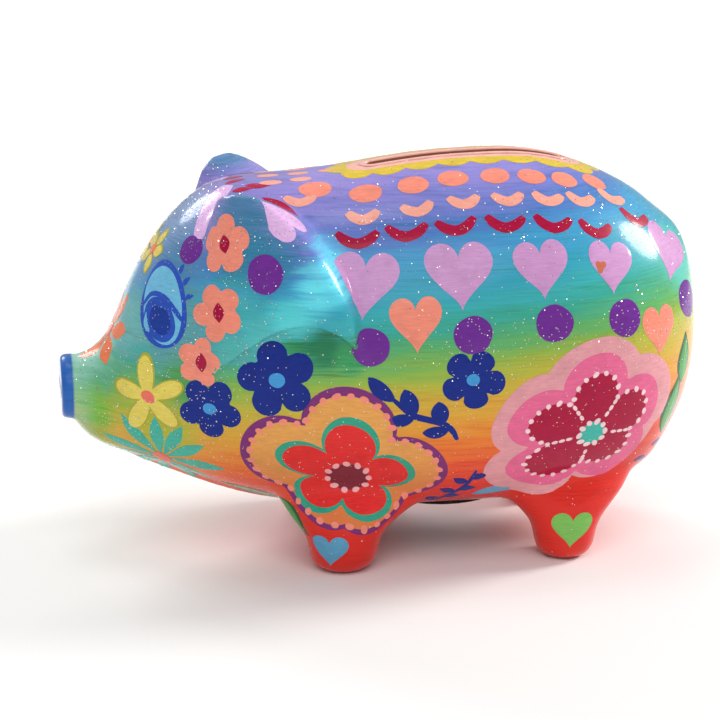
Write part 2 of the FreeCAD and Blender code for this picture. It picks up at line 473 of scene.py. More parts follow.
def brushed_ground(recipe):
    """The banded ground, with the direction of the brush in it. Gives a colour and the relief."""
    place = recipe.place()
    axes = [recipe.node("ShaderNodeSeparateXYZ", {}, {0: place}, output=i) for i in range(3)]
    x, y, z = [axis * 1000 for axis in axes]
    broad = recipe.noise(place, (28, 14, 2.2), 4.0)
    bristle = recipe.noise(place, (11, 6, 0.42), 3.0)
    height = z - (x - BAND_MIDDLE_X) * BAND_TILT + (broad - 0.5) * 10 + (bristle - 0.5) * 4
    share = recipe.ramp(height, BAND_LOW, BAND_HIGH, soft=False)
    span = BAND_HIGH - BAND_LOW
    stops = [((high - BAND_LOW) / span, code) for high, code in BANDS]
    ground = recipe.node("ShaderNodeValToRGB", {"stops": stops}, {0: share})
    mirrored = recipe.node("ShaderNodeCombineXYZ", {}, {0: x, 1: abs(y), 2: z})
    for middle, radius, code in PATCHES_AND_PAINTED_LIGHT:
        gap = recipe.node(
            "ShaderNodeVectorMath", {"operation": "DISTANCE"}, {0: mirrored, 1: middle}, output=1
        )
        edge = gap + (broad - 0.5) * 12 + (bristle - 0.5) * 5
        ground = recipe.blend(1 - recipe.ramp(edge, 0.35 * radius, 1.15 * radius), ground, colour(code))
    ground = recipe.blend(tail_share(recipe, x, y, z), ground, colour("#2f74bd"))
    front = 0 - x
    ground = recipe.blend(recipe.ramp(front, 84, 91) * 0.35, ground, colour("#a4dccb"))
    ground = recipe.blend(recipe.ramp(front, SNOUT_RIM, SNOUT_RIM + 0.8), ground, colour("#2a63b4"))
    dry = recipe.ramp(bristle, 0.35, 0.72)
    ground = recipe.blend(dry * 0.16, ground, colour("#ffffff"), "SOFT_LIGHT")
    worn = recipe.ramp(broad * 0.5 + bristle * 0.5, 0.25, 0.5)
    ground = recipe.blend(0.2 - worn * 0.2, ground, colour("#14303a"), "MULTIPLY")
    return ground, bristle, broad


def ground_paint():
    recipe = Recipe("ground_paint")
    ground, bristle, broad = brushed_ground(recipe)
    pits = recipe.noise(recipe.place(), (0.7, 0.7, 0.7), 2.0)
    relief = bristle * 0.6 + broad * 0.3 + pits * 0.25
    return recipe.varnish(ground, bristle * 0.25 + 0.3, relief, 0.11)


def raw_clay():
    """Fired clay inside the pig and on the walls of the slot and hole, tinted by stray paint on top."""
    recipe = Recipe("raw_clay")
    place = recipe.place()
    sand = recipe.noise(place, (0.5, 0.5, 0.5), 5.0)
    smear = recipe.noise(place, (14, 14, 5), 4.0)
    clay = recipe.blend(recipe.ramp(smear, 0.3, 0.7), colour("#b4623f"), colour("#c77a52"))
    clay = recipe.blend(sand, clay, colour("#8d4528"))
    z = recipe.node("ShaderNodeSeparateXYZ", {}, {0: place}, output=2) * 1000
    rim = recipe.ramp(z + (smear - 0.5) * 5, 112.5, 116)
    clay = recipe.blend(rim * 0.85, clay, colour("#8f4e46"))
    return recipe.varnish(clay, 0.75 + sand * 0.2, sand + smear * 0.4, 0.16, coat=0.0)


GROUND = ground_paint()
CLAY = raw_clay()
print("ground paint mixed from", len(BANDS), "bands and", len(PATCHES_AND_PAINTED_LIGHT), "clouds")

# %% [markdown]
# ## The two half shells
# The shell is one thin wall, cut down the middle where the moulds met. Its outside is painted and its
# inside is raw clay, so each face is given its material by looking outward from it: an outside face
# sees nothing, and an inside face sees the far wall. The cut would show as a line if its edge were
# shaded as a corner, so the points on it get normals that lean neither left nor right.

# %% Cut the shell into its halves
SIGHT = 60 * MM


def faces_out(center, normal, tree):
    """Whether a face is on the outside: it points away from the middle and sees no wall."""
    outward = Vector((center.x * 0.35, center.y, center.z - 65 * MM)).dot(normal) > 0
    return outward and tree.ray_cast(center + normal * 0.2 * MM, normal, SIGHT)[0] is None


def shell_half(name, side):
    clay = bmesh.new()
    clay.from_mesh(body_skin)
    everything = clay.verts[:] + clay.edges[:] + clay.faces[:]
    cut = bmesh.ops.bisect_plane(
        clay, geom=everything, dist=1e-7, plane_co=(0, 0, 0), plane_no=(0, -side, 0), clear_outer=True
    )
    rim = [item for item in cut["geom_cut"] if isinstance(item, bmesh.types.BMEdge)]
    old = set(clay.faces)
    bmesh.ops.triangle_fill(clay, edges=rim, use_beauty=True, normal=(0, -side, 0))
    caps = set(clay.faces) - old
    clay.normal_update()
    for face in clay.faces:
        face.smooth = True
        out = face not in caps and faces_out(face.calc_center_median(), face.normal, body_tree)
        face.material_index = 0 if out else 1
    clay.verts.index_update()
    bent = np.zeros((len(clay.verts), 3))
    for face in clay.faces:
        if face not in caps:
            for vertex in face.verts:
                bent[vertex.index] += face.normal * face.calc_area()
    on_cut = [vertex.index for vertex in clay.verts if abs(vertex.co.y) < 1e-6]
    bent[on_cut, 1] = 0
    bent /= np.maximum(np.linalg.norm(bent, axis=1), 1e-12)[:, None]
    normals = []
    for face in clay.faces:
        for vertex in face.verts:
            normals.append(tuple(face.normal) if face in caps else tuple(bent[vertex.index]))
    mesh = bpy.data.meshes.new(name)
    clay.to_mesh(mesh)
    clay.free()
    mesh.normals_split_custom_set(normals)
    thing = mesh_object(name, mesh, (GROUND, CLAY))
    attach(thing, "pig")
    return thing


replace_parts(shell_half("painted_left_half", LEFT), "body_left_half")
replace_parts(shell_half("painted_right_half", RIGHT), "body_right_half")
print("two half shells, each a closed wall")

# %% [markdown]
# ## Ears, legs, tail and snout
# Each luted piece is the part of the whole skin that stands clear of the body skin, closed underneath
# by a copy of itself pressed onto the body. That keeps each one a separate solid, with a thin feathered
# edge like wiped slip, and no crease can open between it and the shell.

# %% Take each luted piece off the whole skin
FEATHER = 0.02 * MM  # where the skins are closer than this, there is only body
TUCK = 0.06 * MM  # how far the underside sits inside the body


def owners(mesh):
    """The luted node that each face of the whole skin belongs to, or None."""
    trees = {node: BVHTree.FromPolygons(*joined_polygons([node])) for node in LUTED}
    proud = [body_tree.find_nearest(v.co)[3] > FEATHER for v in mesh.vertices]
    found = []
    for face in mesh.polygons:
        owner = None
        if any(proud[i] for i in face.vertices):
            gaps = {node: tree.find_nearest(face.center)[3] for node, tree in trees.items()}
            owner = min(gaps, key=gaps.get)
        found.append(owner)
    return found


def luted_piece(node, faces):
    """A closed solid: these faces, and an underside tucked into the body."""
    used = sorted({i for face in faces for i in face})
    index = {old: new for new, old in enumerate(used)}
    top = [whole_skin.vertices[i].co.copy() for i in used]
    under = []
    for point in top:
        near, normal, _, _ = body_tree.find_nearest(point)
        under.append(near - normal * TUCK)
    count = len(top)
    shell = [[index[i] for i in face] for face in faces]
    sides = {}
    for face in shell:
        for a, b in zip(face, face[1:] + face[:1]):
            sides[a, b] = True
    skirt = [(b, a, a + count, b + count) for a, b in sides if (b, a) not in sides]
    bottom = [[i + count for i in reversed(face)] for face in shell]
    mesh = bpy.data.meshes.new("painted_" + node)
    mesh.from_pydata([tuple(p) for p in top + under], [], shell + skirt + bottom)
    mesh.polygons.foreach_set("use_smooth", [True] * len(mesh.polygons))
    mesh.normals_split_custom_set_from_vertices(
        [tuple(whole_skin.vertices[i].normal) for i in used] * 2
    )
    return mesh


owned = owners(whole_skin)
for node in LUTED:
    faces = [list(f.vertices) for f, owner in zip(whole_skin.polygons, owned) if owner == node]
    piece = mesh_object("painted_" + node, luted_piece(node, faces), (GROUND,))
    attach(piece, "pig")
    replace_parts(piece, node)
    print(piece.name, len(faces), "faces on top")

# %% [markdown]
# ## Painting with real paint
# A flower on this pig is a thick film of acrylic, laid in layers: an outline first, then its filling,
# then dots with the end of the brush. A picture mapped on the body would blur at the edges, so each
# dab is a thin raised solid that follows the clay. A flat outline in millimetres is filled with a net
# of triangles, and every point of it walks over the skin from the middle of the dab, as a sticker
# wraps round a bottle. Later layers sit a little higher than earlier ones.

# %% Walk over the skin
STRIDE = 3 * MM


class Spot:
    """A place on the skin, with the directions towards the rump and up the side of the pig."""

    def __init__(self, x, y, z):
        self.point, self.normal, _, _ = whole_tree.find_nearest(Vector((x, y, z)) * MM)
        back = Vector((1, 0, 0))
        self.back = (back - self.normal * back.dot(self.normal)).normalized()
        self.side = LEFT if y < 0 else RIGHT
        self.up = self.normal.cross(self.back) * -self.side

    def walk(self, u, v):
        """The point that lies u back and v up from here, in millimetres along the skin."""
        far = math.hypot(u, v) * MM
        point, normal = self.point, self.normal
        if far < 1e-6:
            return point, normal
        heading = (self.back * u + self.up * v).normalized()
        strides = math.ceil(far / STRIDE)
        for _ in range(strides):
            point, normal, _, _ = whole_tree.find_nearest(point + heading * far / strides)
            heading = (heading - normal * heading.dot(normal)).normalized()
        return point, normal


nose_side = Spot(-60, -30, 70)
print("a walk of 20 mm back ends at", [round(value / MM) for value in nose_side.walk(20, 0)[0]])

# %% Lay dabs of paint
NET = 1.3  # spacing of the points inside a dab, in millimetres
FILM = 0.1 * MM  # thickness of one dab
LAYER = 0.06 * MM  # each layer is this much higher than the last
rng = np.random.default_rng(7)


def inside(points, outline):
    """Which points are within a closed outline, by counting the edges above each one."""
    a = np.array(outline)
    b = np.roll(a, -1, axis=0)
    x, y = points[:, 0:1], points[:, 1:2]
    spans = (a[:, 0] > x) != (b[:, 0] > x)
    width = np.where(a[:, 0] == b[:, 0], 1, b[:, 0] - a[:, 0])
    crossing = a[:, 1] + (x - a[:, 0]) / width * (b[:, 1] - a[:, 1])
    return (spans & (y < crossing)).sum(axis=1) % 2 == 1


def net(outline, hole):
    """Points and triangles that fill an outline, with the outline's points first."""
    edge = np.array(outline, float)
    rims = [edge] if hole is None else [edge, np.array(hole, float)]
    low, high = edge.min(0), edge.max(0)
    rows = np.arange(low[1], high[1], NET * 0.87)
    grid = [
        (x + (i % 2) * NET / 2, y) for i, y in enumerate(rows) for x in np.arange(low[0], high[0], NET)
    ]
    grid = np.array(grid).reshape(-1, 2)
    if len(grid):
        grid = grid[inside(grid, outline)]
    if len(grid) and hole is not None:
        grid = grid[~inside(grid, hole)]
    for rim in rims:
        if len(grid):
            gaps = np.linalg.norm(grid[:, None] - rim[None], axis=2).min(1)
            grid = grid[gaps > 0.5 * NET]
    if len(grid) == 0:
        grid = edge.mean(0)[None]
    points = [Vector(p) for rim in rims for p in rim.tolist()] + [Vector(p) for p in grid.tolist()]
    links, start = [], 0
    for rim in rims:
        count = len(rim)
        links += [(start + i, start + (i + 1) % count) for i in range(count)]
        start += count
    filled = delaunay_2d_cdt(points, links, [list(range(len(edge)))], 1, 1e-5)
    flat = np.array([tuple(p) for p in filled[0]])
    triangles = np.array([t for t in filled[2]], int).reshape(-1, 3)
    if hole is not None:
        triangles = triangles[~inside(flat[triangles].mean(1), hole)]
    return flat, triangles


painted = []


class Motif:
    """Dabs of paint that make one flower, row or figure: one mesh with several paints."""

    def __init__(self, name):
        self.name = name
        self.points, self.faces, self.kinds, self.paints = [], [], [], []

    def dab(self, paint, outline, spot, at=(0, 0), turn=0.0, layer=0, hole=None, film=FILM):
        """Lay an outline on the skin, moved by at and turned in degrees round the spot's middle."""
        flat, triangles = net(outline, hole)
        sides = np.sort(triangles[:, [0, 1, 1, 2, 2, 0]].reshape(-1, 2), axis=1)
        pairs, counts = np.unique(sides, axis=0, return_counts=True)
        on_rim = set(pairs[counts == 1].ravel().tolist())
        cos, sin = math.cos(math.radians(turn)), math.sin(math.radians(turn))
        start, count = len(self.points), len(flat)
        under = []
        for i, (u, v) in enumerate(flat.tolist()):
            point, normal = spot.walk(at[0] + cos * u - sin * v, at[1] + sin * u + cos * v)
            high = LAYER * layer + (0.6 * film if i in on_rim else film)
            self.points.append(point + normal * high)
            under.append(point - normal * 0.05 * MM)
        self.points += under
        flip = spot.side == RIGHT
        tops = [tuple(t[::-1]) if flip else tuple(t) for t in triangles.tolist()]
        self.faces += [tuple(start + i for i in t) for t in tops]
        self.faces += [tuple(start + count + i for i in t[::-1]) for t in tops]
        edges = {(a, b) for t in tops for a, b in zip(t, t[1:] + t[:1])}
        skirt = [(b, a, a + count, b + count) for a, b in sorted(edges) if (b, a) not in edges]
        self.faces += [tuple(start + i for i in side) for side in skirt]
        if paint not in self.paints:
            self.paints.append(paint)
        self.kinds += [self.paints.index(paint)] * (len(self.faces) - len(self.kinds))

    def dry(self):
        """Make the mesh, once every dab is laid."""
        mesh = bpy.data.meshes.new(self.name)
        mesh.from_pydata([tuple(p) for p in self.points], [], self.faces)
        for paint in self.paints:
            mesh.materials.append(enamel(paint))
        mesh.polygons.foreach_set("material_index", self.kinds)
        mesh.polygons.foreach_set("use_smooth", [True] * len(mesh.polygons))
        mesh.set_sharp_from_angle(angle=math.radians(35))
        thing = mesh_object(self.name, mesh)
        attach(thing, "pig")
        painted.append(thing)
        print(self.name, "has", len(self.faces), "faces in", len(self.paints), "paints")


# %% The paint box
PAINT_BOX = {
    "salmon": "#ee8a74", "peach": "#f0a08c", "crimson": "#a60038", "lilac": "#c590c0",
    "violet": "#6a2a8c", "navy": "#00227f", "sky": "#3f93cf", "yellow": "#dfcb5a",
    "orange": "#ee7a4c", "red": "#dc2a28", "teal": "#2f9d80", "turquoise": "#3db3a4",
    "slot_brown": "#9c6045", "shell_pink": "#efb0a2", "maroon": "#7d2331", "blush": "#f3a8ad",
    "rose": "#e0648e", "pale_rose": "#dc979d", "plum": "#7a2a70", "tan": "#df9d50",
    "grass": "#54b04a", "olive": "#a9a638", "lid_blue": "#6db6d6", "iris_blue": "#2a50b4",
    "leaf_green": "#2f8f3c", "leaf_dark": "#15572f", "leg_blue": "#5a9ec2", "leg_green": "#78ba58",
    "clay_chip": "#c0694c", "white_pink": "#f4cfd2", "gold": "#d6b726", "spiky_teal": "#3fae98",
    "coral": "#e8705e", "pale_lilac": "#dcb0de", "iris_deep": "#1b3a92",
}
WARMER_BELOW = {"tan": "#e0703f"}  # a filling that runs into the orange of the belly
WARM_FROM = (18, 46)  # heights between which it changes, in millimetres
mixed = {}


def enamel(paint):
    """One paint of the box, with the streaks of a small brush and thicker and thinner film."""
    if paint not in mixed:
        recipe = Recipe("enamel_" + paint)
        place = recipe.place()
        streak = recipe.noise(place, (3.2, 2.6, 0.45), 3.0)
        pool = recipe.noise(place, (5, 5, 5), 2.0)
        tone = colour(PAINT_BOX[paint])
        thin = tuple(min(1.0, value * 1.25 + 0.003) for value in tone[:3]) + (1.0,)
        deep = tuple(value * 0.8 for value in tone[:3]) + (1.0,)
        paint_film = recipe.blend(recipe.ramp(streak, 0.3, 0.75) * 0.6, tone, thin)
        if paint in WARMER_BELOW:
            z = recipe.node("ShaderNodeSeparateXYZ", {}, {0: place}, output=2) * 1000
            low = 1 - recipe.ramp(z, *WARM_FROM)
            paint_film = recipe.blend(low * 0.85, paint_film, colour(WARMER_BELOW[paint]))
        paint_film = recipe.blend(recipe.ramp(pool, 0.45, 0.8) * 0.45, paint_film, deep)
        relief = streak * 0.7 + pool * 0.3
        mixed[paint] = recipe.varnish(paint_film, streak * 0.2 + 0.3, relief, 0.07)
    return mixed[paint]


print("the box holds", len(PAINT_BOX), "paints")

# %% [markdown]
# ## Outlines a painter repeats
# The whole pattern comes from a few strokes learned by heart: a dot, a heart, a smile, a petalled
# flower, a star of petals and a leaf. Each is a formula of an angle or of a line, with a little wobble
# from a seeded generator, so that no two flowers are twins but every run gives the same pig.

# %% Stroke outlines, in millimetres
def wobbled(outline, amount=0.03):
    """The outline as an unsteady hand draws it."""
    shape = np.array(outline, float)
    angles = np.arctan2(shape[:, 1], shape[:, 0])
    swing = np.ones(len(shape))
    for waves in (2, 3, 5):
        size = 0.6 * amount * math.sqrt(2 / waves)
        swing += size * np.sin(waves * angles + rng.uniform(0, 6.3))
    return (shape * swing[:, None]).tolist()


def polar(radius, count=60):
    angles = [2 * math.pi * i / count for i in range(count)]
    return [(radius(a) * math.cos(a), radius(a) * math.sin(a)) for a in angles]


def dot(wide, high=None, count=24):
    high = high or wide
    return wobbled([(u * wide / 2, v * high / 2) for u, v in polar(lambda a: 1, count)])


def flower(petals, tip, notch, fullness=0.55, start=90):
    """Round petals: tip and notch are the outer and inner radius, fullness below 1 widens petals."""
    def radius(a):
        wave = abs(math.cos(petals * (a - math.radians(start)) / 2))
        return notch + (tip - notch) * wave ** fullness
    return wobbled(polar(radius, max(40, int(tip * 6))), 0.035)


def odd_flower(petals, grow=0.0):
    """An uneven flower. Each petal has its angle, its reach and how deep the notch after it is."""
    def radius(a):
        for (one, reach, notch), (two, next_reach, _) in zip(petals, petals[1:] + petals[:1]):
            share = (math.degrees(a) - one) % 360 / ((two - one) % 360)
            if share < 1:
                tip = reach if share < 0.5 else next_reach
                return grow + notch + (tip - notch) * abs(math.cos(math.pi * share)) ** 0.7
        return grow + petals[0][1]

    return wobbled(polar(radius, 140), 0.02)


def heart(wide, high):
    shape = []
    for i in range(40):
        t = 2 * math.pi * i / 40
        u = math.sin(t) ** 3
        v = (13 * math.cos(t) - 5 * math.cos(2 * t) - 2 * math.cos(3 * t) - math.cos(4 * t)) / 29
        shape.append((u * wide / 2, (v + 0.09) * high))
    return wobbled(shape, 0.025)


def smile(wide, drop, thick):
    """A dab that hangs like a smile, thick in the middle and rounded at the ends."""
    steps = [-1, -0.55, 0, 0.55, 1]
    return wobbled(ribbon([(t * wide / 2, drop * (t * t - 0.5)) for t in steps], thick), 0.02)


def leaf(length, wide, bend=0.0, blunt=0.8, full=1.0):
    """A leaf or petal from the origin along +u, bent to one side. Full below 1 rounds its ends."""
    one, other = [], []
    for i in range(11):
        t = i / 10
        half = wide / 2 * abs(math.sin(math.pi * t ** blunt)) ** full + 0.12
        middle = bend * math.sin(math.pi * t) * length
        one.append((t * length, middle - half))
        other.append((t * length, middle + half))
    return one + other[::-1]


def ribbon(route, wide):
    """A brushed line of even width through a few points, by smooth curves between them."""
    route = [np.array(p, float) for p in route]
    ends = [2 * route[0] - route[1]] + route + [2 * route[-1] - route[-2]]
    line = []
    for a, b, c, d in zip(ends, ends[1:], ends[2:], ends[3:]):
        for i in range(6):
            t = i / 6
            line.append(0.5 * (2 * b + (c - a) * t + (2 * a - 5 * b + 4 * c - d) * t * t
                               + (3 * b - a - 3 * c + d) * t ** 3))
    line = np.array(line + [route[-1]])
    along = np.gradient(line, axis=0)
    along /= np.linalg.norm(along, axis=1)[:, None]
    across = np.column_stack([-along[:, 1], along[:, 0]])
    half = wide / 2 * np.sqrt(1 - 0.75 * np.abs(np.linspace(-1, 1, len(line))) ** 3)[:, None]
    return (line - across * half).tolist() + (line + across * half)[::-1].tolist()


def star_petals(motif, paint, spot, petals, length, wide, start=90, layer=0, inner=1.0):
    """Separate petals round a spot, each a leaf that starts a little way out."""
    for i in range(petals):
        angle = start + 360 * i / petals + rng.uniform(-5, 5)
        turn = math.radians(angle)
        at = (inner * math.cos(turn), inner * math.sin(turn))
        size = length * rng.uniform(0.9, 1.08)
        motif.dab(paint, leaf(size, wide, 0, 1.25), spot, at, angle, layer + (i % 2) * 0.3)


def beads(motif, paint, spot, outline, size, gap, layer):
    """Dots along an outline at even steps."""
    line = np.array(outline + outline[:1], float)
    steps = np.linalg.norm(np.diff(line, axis=0), axis=1)
    along = np.concatenate([[0], np.cumsum(steps)])
    count = max(3, round(along[-1] / gap))
    for i in range(count):
        where = along[-1] * i / count
        u, v = (np.interp(where, along, line[:, axis]) for axis in (0, 1))
        turn = rng.uniform(0, 180)
        motif.dab(paint, dot(size * rng.uniform(0.85, 1.2), size * 0.8, 10), spot, (u, v), turn, layer)


print("outlines: dot, flower, heart, smile, leaf, ribbon, star and beads")

# %% [markdown]
# ## The back: rows of dots and smiles
# Along the back the painter worked in rows, from the slot outwards: yellow scallops and a pink band
# round the slot, then ovals, then smiles in peach and in crimson. A painter spaces the dabs of a row by
# eye, so the ovals and peach smiles are short lists of places, a little closer towards the rump.

# %% Band round the coin slot
BAND_POINTS = 200


def band(straight, radius, bumps=0, rise=0.0):
    """A long band with round ends. Its rim swells into bumps, like the hem of a petticoat."""
    around = 4 * straight + 2 * math.pi * radius
    outline = []
    for i in range(BAND_POINTS):
        s = around * i / BAND_POINTS
        swell = rise * abs(math.sin(math.pi * bumps * s / around)) ** 0.7
        side = 1 if s < around / 2 else -1
        s = s % (around / 2)
        if s < 2 * straight:
            outline.append((side * (straight - s), side * (radius + swell)))
        else:
            turn = math.pi / 2 + (s - 2 * straight) / radius
            reach = radius + swell
            outline.append((side * (-straight + reach * math.cos(turn)), side * reach * math.sin(turn)))
    return outline


RIM_HALF = 2.75  # the band of paint starts this far from the middle line of the slot
slot_rim = [
    (side * (SLOT_STRAIGHT + RIM_HALF * math.sin(a)), side * RIM_HALF * math.cos(a))
    for side in (1, -1) for a in [math.pi * i / 12 for i in range(13)]
]


class SlotSpot(Spot):
    """Round the slot the film is laid from above, because a walk would fall into the slot."""

    def __init__(self):
        self.side = LEFT

    def walk(self, u, v):
        start = Vector((SLOT_MIDDLE + u * MM, v * MM, 0.2))
        point, normal, _, _ = whole_tree.ray_cast(start, Vector((0, 0, -1)))
        return point, normal


def slot_band():
    hem = Motif("paint_slot_band")
    above = SlotSpot()
    hem.dab("gold", band(29, 9.4, 18, 3.0), above, hole=slot_rim)
    hem.dab("shell_pink", band(28.5, 6.6), above, hole=slot_rim, layer=1)
    hem.dry()


slot_band()

# %% Lip of the coin slot
SLOT_HALF = 2.5
LIP = [  # the section of the lip: how far out from the wall, and how high above the back
    (1.7, -0.1), (1.55, 0.16), (0.9, 0.24), (0.3, 0.22), (-0.1, 0.08), (-0.3, -0.25), (-0.34, -0.9),
    (-0.34, -2.4), (0.3, -2.6), (0.4, -1.0),
]
WALL = 5  # the parts of the section from here on are bare clay


def slot_places():
    """Places round the slot: how far along its middle line, and the direction out to its wall."""
    places = []
    for side in (1, -1):
        for i in range(13):
            a = math.pi * i / 12
            places.append((side * SLOT_STRAIGHT, side * math.sin(a), side * math.cos(a)))
        places += [(side * (SLOT_STRAIGHT - 1.5 * i), 0, -side) for i in range(1, 36)]
    return places


def slot_lip():
    """A smooth roll of paint over the cut edge, with bare clay down the wall."""
    lip = Motif("paint_slot_lip")
    lip.paints = ["shell_pink", "slot_brown"]
    exact = BVHTree.FromPolygons(*joined_polygons(HALVES))
    places = slot_places()
    for out, high in LIP:
        for along, du, dv in places:
            sure = SLOT_HALF + max(out, 0.35)
            start = Vector((SLOT_MIDDLE + (along + sure * du) * MM, sure * dv * MM, 0.2))
            top = exact.ray_cast(start, Vector((0, 0, -1)))[0].z
            reach = SLOT_HALF + out
            lip.points.append(
                Vector((SLOT_MIDDLE + (along + reach * du) * MM, reach * dv * MM, top + high * MM))
            )
    count = len(places)
    for row in range(len(LIP)):
        below = (row + 1) % len(LIP)
        for i in range(count):
            j = (i + 1) % count
            lip.faces.append((row * count + i, below * count + i, below * count + j, row * count + j))
            lip.kinds.append(int(row >= WALL))
    lip.dry()


slot_lip()

# %% Rows along the back
OVALS = [
    (-21.5, 16.5), (-8.3, 23.5), (6, 22.5), (18.3, 21.2), (31, 21.2), (42.4, 21.8), (53.5, 21.5),
    (65.5, 17.5),
]
SMILES = [(-26, 19), (-10, 31.5), (6, 31), (20, 29.5), (33, 29.2), (45.3, 29), (56.5, 27), (68.5, 21)]


def back_rows(side, word):
    rows = Motif(f"paint_back_rows_{word}")
    for i, (x, across) in enumerate(OVALS):
        spot = Spot(x, side * across, 120)
        rows.dab("salmon", dot(9.8 - 0.28 * i, 8.8 - 0.2 * i), spot, turn=rng.uniform(-8, 8))
    for x, across in SMILES:
        spot = Spot(x, side * across, 112)
        rows.dab("peach", smile(8.6, 3.2, 3.6), spot, turn=rng.uniform(-6, 6))
    for i in range(7):
        x = -12 + 14.3 * i
        across = 23 if i == 6 else 35
        spot = Spot(x, side * across, 103.5 + 1.5 * math.sin(math.pi * i / 6))
        rows.dab("crimson", smile(11.8 - 0.25 * i, 3.8, 3.4), spot, turn=rng.uniform(-6, 6))
    rows.dry()


for side, word in SIDES:
    back_rows(side, word)

# %% Hearts and violet dots along the flank
HEART_ROW = [  # place and width of each heart
    (-11, 42, 90, 19), (16, 45, 92.5, 19.4), (40, 44, 93, 16.6), (62, 39, 91.5, 15.2), (83, 23, 91, 18),
]
DOT_ROW = [(-10, 46, 73), (19, 49, 76), (43, 48, 78), (65, 42, 77), (88, 24, 77)]


def flank_row(side, word):
    row = Motif(f"paint_flank_row_{word}")
    for x, y, z, wide in HEART_ROW:
        spot = Spot(x, side * y, z)
        row.dab("lilac", heart(wide, wide + 1), spot, turn=rng.uniform(-8, 8))
    for x, y, z in DOT_ROW:
        row.dab("violet", dot(11.3, 11), Spot(x, side * y, z))
    for x, y, z, wide in ((3, 47, 79, 15), (77, 37, 71, 14)):
        row.dab("salmon", heart(wide, wide + 1), Spot(x, side * y, z), turn=rng.uniform(-6, 6))
    row.dry()


for side, word in SIDES:
    flank_row(side, word)

# %% [markdown]
# ## The two big flowers
# Over each leg sits a flower a third as wide as the pig is long. It is built as the painter built
# it, from the outside in: a wide outline, dots along its inner edge, a filling, a second outline,
# petals, and a centre ringed with small dabs.

# %% Front flower
# The angle and reach of each petal, and the depth of the notch after it. The leg leaves the painter
# no room below, so the lower petals are short.
FRONT_OUTER = [(-118, 18.5, 16.5), (-60, 20.5, 19.5), (10, 29, 20), (96, 31.2, 23), (163, 33.5, 21)]
FRONT_PETALS = [(-146, 15.6, 7.6), (-47, 15, 9.4), (6, 17.4, 9.6), (97, 19.8, 10.4), (161, 20.2, 9)]


def front_flower(side, word):
    bloom = Motif(f"paint_front_flower_{word}")
    spot = Spot(-15, side * 37, 32)
    outer = odd_flower(FRONT_OUTER)
    filling = [(u * 0.91, v * 0.91) for u, v in outer]
    bloom.dab("plum", outer, spot)
    bloom.dab("tan", filling, spot, layer=1)
    beads(bloom, "salmon", spot, filling, 2.5, 4.1, 2)
    bloom.dab("teal", odd_flower(FRONT_PETALS, 2.1), spot, layer=2)
    bloom.dab("red", odd_flower(FRONT_PETALS), spot, layer=3)
    centre = dot(12.2, 11)
    bloom.dab("maroon", centre, spot, layer=4)
    beads(bloom, "blush", spot, centre, 2.3, 3.2, 5)
    bloom.dry()


for side, word in SIDES:
    front_flower(side, word)

# %% Rear flower
REAR_OUTER = [(-46, 20.5, 23), (26, 31, 26), (80, 30, 26), (165, 32, 27), (205, 33, 18)]
REAR_PETALS = [(-46, 15, 12), (27, 19, 12), (79, 19.5, 12), (164, 21, 12), (208, 22, 9.5)]
REAR_ANGLES = [petal[0] for petal in REAR_PETALS]


def rear_flower(side, word):
    bloom = Motif(f"paint_rear_flower_{word}")
    spot = Spot(55.7, side * 42.5, 43)
    bloom.dab("pale_rose", odd_flower(REAR_OUTER), spot)
    bloom.dab("rose", odd_flower(REAR_PETALS, 6), spot, layer=1)
    petals = odd_flower(REAR_PETALS)
    bloom.dab("crimson", petals, spot, layer=2)
    beads(bloom, "white_pink", spot, petals, 1.9, 3.4, 3)
    for low, high in zip(REAR_ANGLES, REAR_ANGLES[1:] + [REAR_ANGLES[0] + 360]):
        turn = math.radians((low + high) / 2)
        for far in (7.2, 9.4, 11.6):
            place = (far * math.cos(turn), far * math.sin(turn))
            bloom.dab("white_pink", dot(2.0, 1.2, 10), spot, place, math.degrees(turn), 3)
    centre = dot(8.4, 8)
    bloom.dab("turquoise", centre, spot, layer=4)
    beads(bloom, "white_pink", spot, centre, 2.1, 2.6, 5)
    bloom.dry()


for side, word in SIDES:
    rear_flower(side, word)

# %% [markdown]
# ## Small flowers, sprigs and leaves
# Between the big flowers the painter filled the gaps: navy flowers with pale blue centres, a navy sprig
# of two-leaved stems, leaf pairs under the belly and on the rump, and a heart on every leg.

# %% Navy flowers and sprigs
NAVY_FLOWERS = [(-36, 41, 63, 11.5, 102), (-54.5, 33, 53, 9.5, 58), (19, 50, 63, 9.3, 62)]
SPRIG = [(-11.5, 3.2), (-7, -0.8), (-4.6, -2.4), (2.4, -4.5), (5.7, -6.8), (7.6, -10.4)]
SPRIG_LEAVES = [  # where each leaf starts, its turn, length and width
    (-10.8, 2.4, 137, 10.4, 4.4), (-4.6, -1.6, 115, 8.4, 5), (-5, -2.8, 188, 7.6, 3.8),
    (3.3, -4.8, 103, 7.2, 5), (5, -7, 186, 7.6, 3.8),
]


